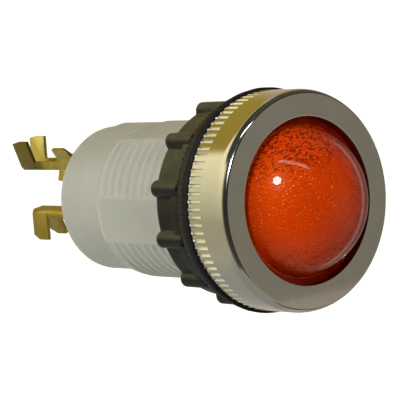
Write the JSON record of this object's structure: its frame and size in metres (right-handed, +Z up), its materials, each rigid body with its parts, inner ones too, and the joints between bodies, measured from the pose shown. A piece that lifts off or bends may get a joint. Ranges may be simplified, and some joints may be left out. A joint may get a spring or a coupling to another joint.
{
  "type": "panel pilot light",
  "caption": "Round panel pilot light: plated ring with an orange domed lens, threaded translucent barrel with gasket, toothed washer and ring nut, and crimp terminals behind.",
  "frame": {"origin": "on the barrel axis, in the plane of the panel seat, which is the rear face of the front gasket", "axes": "+Y along the barrel from the lens to the terminals, so the lens faces -Y; +Z up, square to the flat on top of the rear of the body; +X to the right when looking along +Y"},
  "size_m": [0.0368, 0.0816, 0.0368],
  "materials": {
    "plated_metal": "polished nickel-chrome plate",
    "lens_orange": "clear moulded orange, pebbled inside",
    "rubber_black": "satin moulded rubber",
    "nylon_white": "milky translucent moulded nylon",
    "plastic_olive": "satin moulded dark olive-grey plastic",
    "plastic_brown": "dark moulded phenolic",
    "brass_strip": "stamped brass, satin",
    "brass_shell": "rolled brass",
    "bronze_strip": "phosphor bronze spring strip",
    "lamp_glass": "clear glass and brass cap, sealed",
    "resistor_coat": "cement coat with tinned leads",
    "sleeve_cream": "woven glass sleeving"
  },
  "bodies": {
    "barrel_body": {"housing": "nylon_white", "front_gasket": "rubber_black", "lamp": "lamp_glass", "lamp_shell": "brass_shell", "lamp_carrier": "plastic_brown", "centre_contact": "bronze_strip", "contact_rivets": "brass_shell", "terminal_upper": "brass_strip", "terminal_lower": "brass_strip", "terminal_side": "brass_strip", "ballast_resistor": "resistor_coat", "lead_sleeve": "sleeve_cream"},
    "lens_set": {"lens": "lens_orange", "lens_gasket": "rubber_black"},
    "bezel_ring": {"bezel": "plated_metal"},
    "clamp_washer": {"toothed_washer": "plastic_olive"},
    "nut": {"ring_nut": "plastic_olive"}
  },
  "joints": [
    {"name": "lens_slide", "type": "slide", "parent": "barrel_body", "child": "lens_set", "axis": [0, -1, 0], "range_m": [0, 0.0045]},
    {"name": "bezel_turn", "type": "hinge", "parent": "lens_set", "child": "bezel_ring", "pos_m": [0, 0, 0], "axis": [0, -1, 0], "range_deg": [0, 1080]},
    {"name": "washer_slide", "type": "slide", "parent": "barrel_body", "child": "clamp_washer", "axis": [0, 1, 0], "range_m": [0, 0.018]},
    {"name": "nut_turn", "type": "hinge", "parent": "clamp_washer", "child": "nut", "pos_m": [0, 0, 0], "axis": [0, 1, 0], "range_deg": [0, 3240]}
  ],
  "couplings": [
    {"joint": "bezel_turn", "follows": "lens_slide", "rad_per_m": 4188.8},
    {"joint": "nut_turn", "follows": "washer_slide", "rad_per_m": 3141.6}
  ]
}
